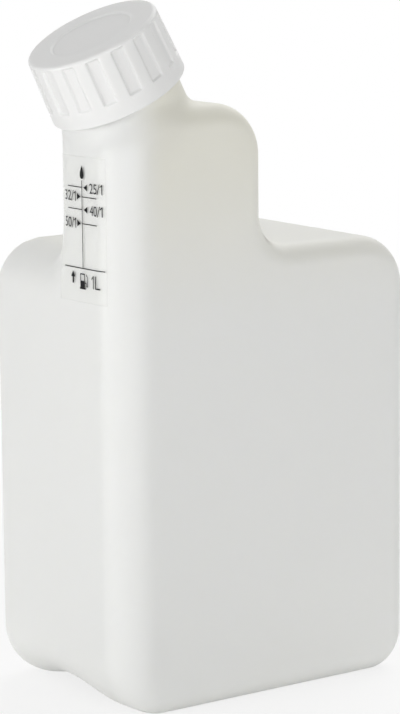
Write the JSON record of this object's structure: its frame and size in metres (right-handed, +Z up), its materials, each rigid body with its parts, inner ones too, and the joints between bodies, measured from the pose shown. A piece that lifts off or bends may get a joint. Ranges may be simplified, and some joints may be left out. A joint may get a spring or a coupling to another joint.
{
  "type": "fuel mixing bottle",
  "caption": "Rectangular plastic fuel mixing bottle with a tall measuring column at one corner, a slanted neck with a ribbed screw cap, and a mixing scale.",
  "frame": {"origin": "middle of the bounding box at the height of the feet", "axes": "+Z up, +X along the large face away from the column, +Y from the large face with the column to the back"},
  "size_m": [0.123, 0.0742, 0.2158],
  "materials": {
    "bottle_plastic": "milky natural polyethylene, satin",
    "cap_plastic": "white, satin gloss",
    "liner_foam": "white foamed sealing disc",
    "label_film": "clear film with black scale marks"
  },
  "bodies": {
    "bottle": {"bottle": "bottle_plastic", "label_film": "label_film"},
    "liner": {"cap_liner": "liner_foam"},
    "cap": {"cap": "cap_plastic"}
  },
  "joints": [
    {"name": "cap_lift", "type": "slide", "parent": "bottle", "child": "liner", "axis": [-0.4594, 0, 0.8882], "range_m": [0, 0.0241]},
    {"name": "cap_turn", "type": "hinge", "parent": "liner", "child": "cap", "pos_m": [-0.03412, -0.01583, 0.1884], "axis": [-0.4594, 0, 0.8882], "range_deg": [0, 2160]}
  ],
  "couplings": [
    {"joint": "cap_lift", "follows": "cap_turn", "m_per_rad": 0.00063662}
  ]
}
